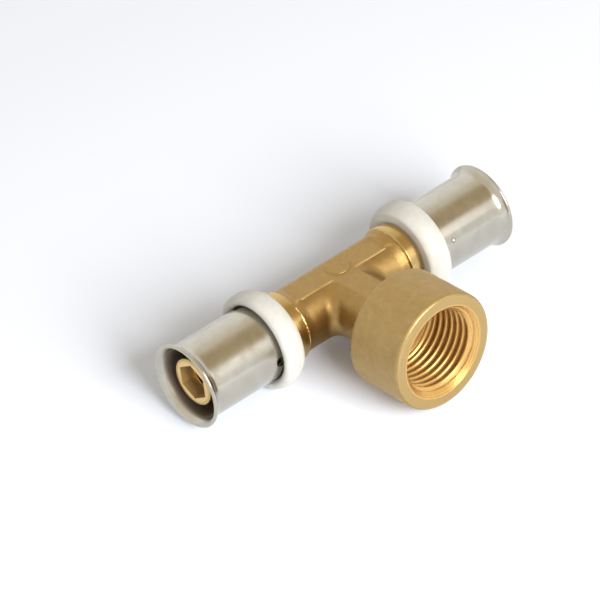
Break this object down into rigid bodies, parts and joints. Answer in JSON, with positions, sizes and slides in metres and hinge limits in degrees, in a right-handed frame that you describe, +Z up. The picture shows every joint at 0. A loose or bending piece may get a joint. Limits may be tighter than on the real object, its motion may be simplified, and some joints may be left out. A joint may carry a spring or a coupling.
{
  "type": "press tee fitting",
  "caption": "Tee that joins two multilayer pipes by pressed steel sleeves and gives a female threaded branch at right angles.",
  "frame": {"origin": "centre of the bottom of the bounding box; the branch boss's lowest line is at z = 0", "axes": "X along the run, -Y out of the threaded branch, +Z up, normal to the forged pads"},
  "size_m": [0.091, 0.0466, 0.028],
  "materials": {
    "brass": "sand-blasted forging, machined bright at the ring, the branch mouth and the thread",
    "rubber": "black moulded EPDM",
    "white_plastic": "satin moulded white polyamide",
    "stainless": "drawn tube, satin, bright at the flared rim"
  },
  "bodies": {
    "tee": {"tee_body": "brass", "o_ring_left_inner": "rubber", "o_ring_left_outer": "rubber", "o_ring_right_inner": "rubber", "o_ring_right_outer": "rubber"},
    "collar_left": {"collar_left": "white_plastic"},
    "collar_right": {"collar_right": "white_plastic"},
    "sleeve_left": {"sleeve_left": "stainless"},
    "sleeve_right": {"sleeve_right": "stainless"}
  },
  "joints": [
    {"name": "collar_left_spin", "type": "hinge", "parent": "tee", "child": "collar_left", "pos_m": [-0.0223, 0.01145, 0.014], "axis": [1, 0, 0], "continuous": true},
    {"name": "collar_right_spin", "type": "hinge", "parent": "tee", "child": "collar_right", "pos_m": [0.0223, 0.01145, 0.014], "axis": [1, 0, 0], "continuous": true},
    {"name": "sleeve_left_spin", "type": "hinge", "parent": "collar_left", "child": "sleeve_left", "pos_m": [-0.0332, 0.01145, 0.014], "axis": [1, 0, 0], "continuous": true},
    {"name": "sleeve_right_spin", "type": "hinge", "parent": "collar_right", "child": "sleeve_right", "pos_m": [0.0332, 0.01145, 0.014], "axis": [1, 0, 0], "continuous": true}
  ]
}
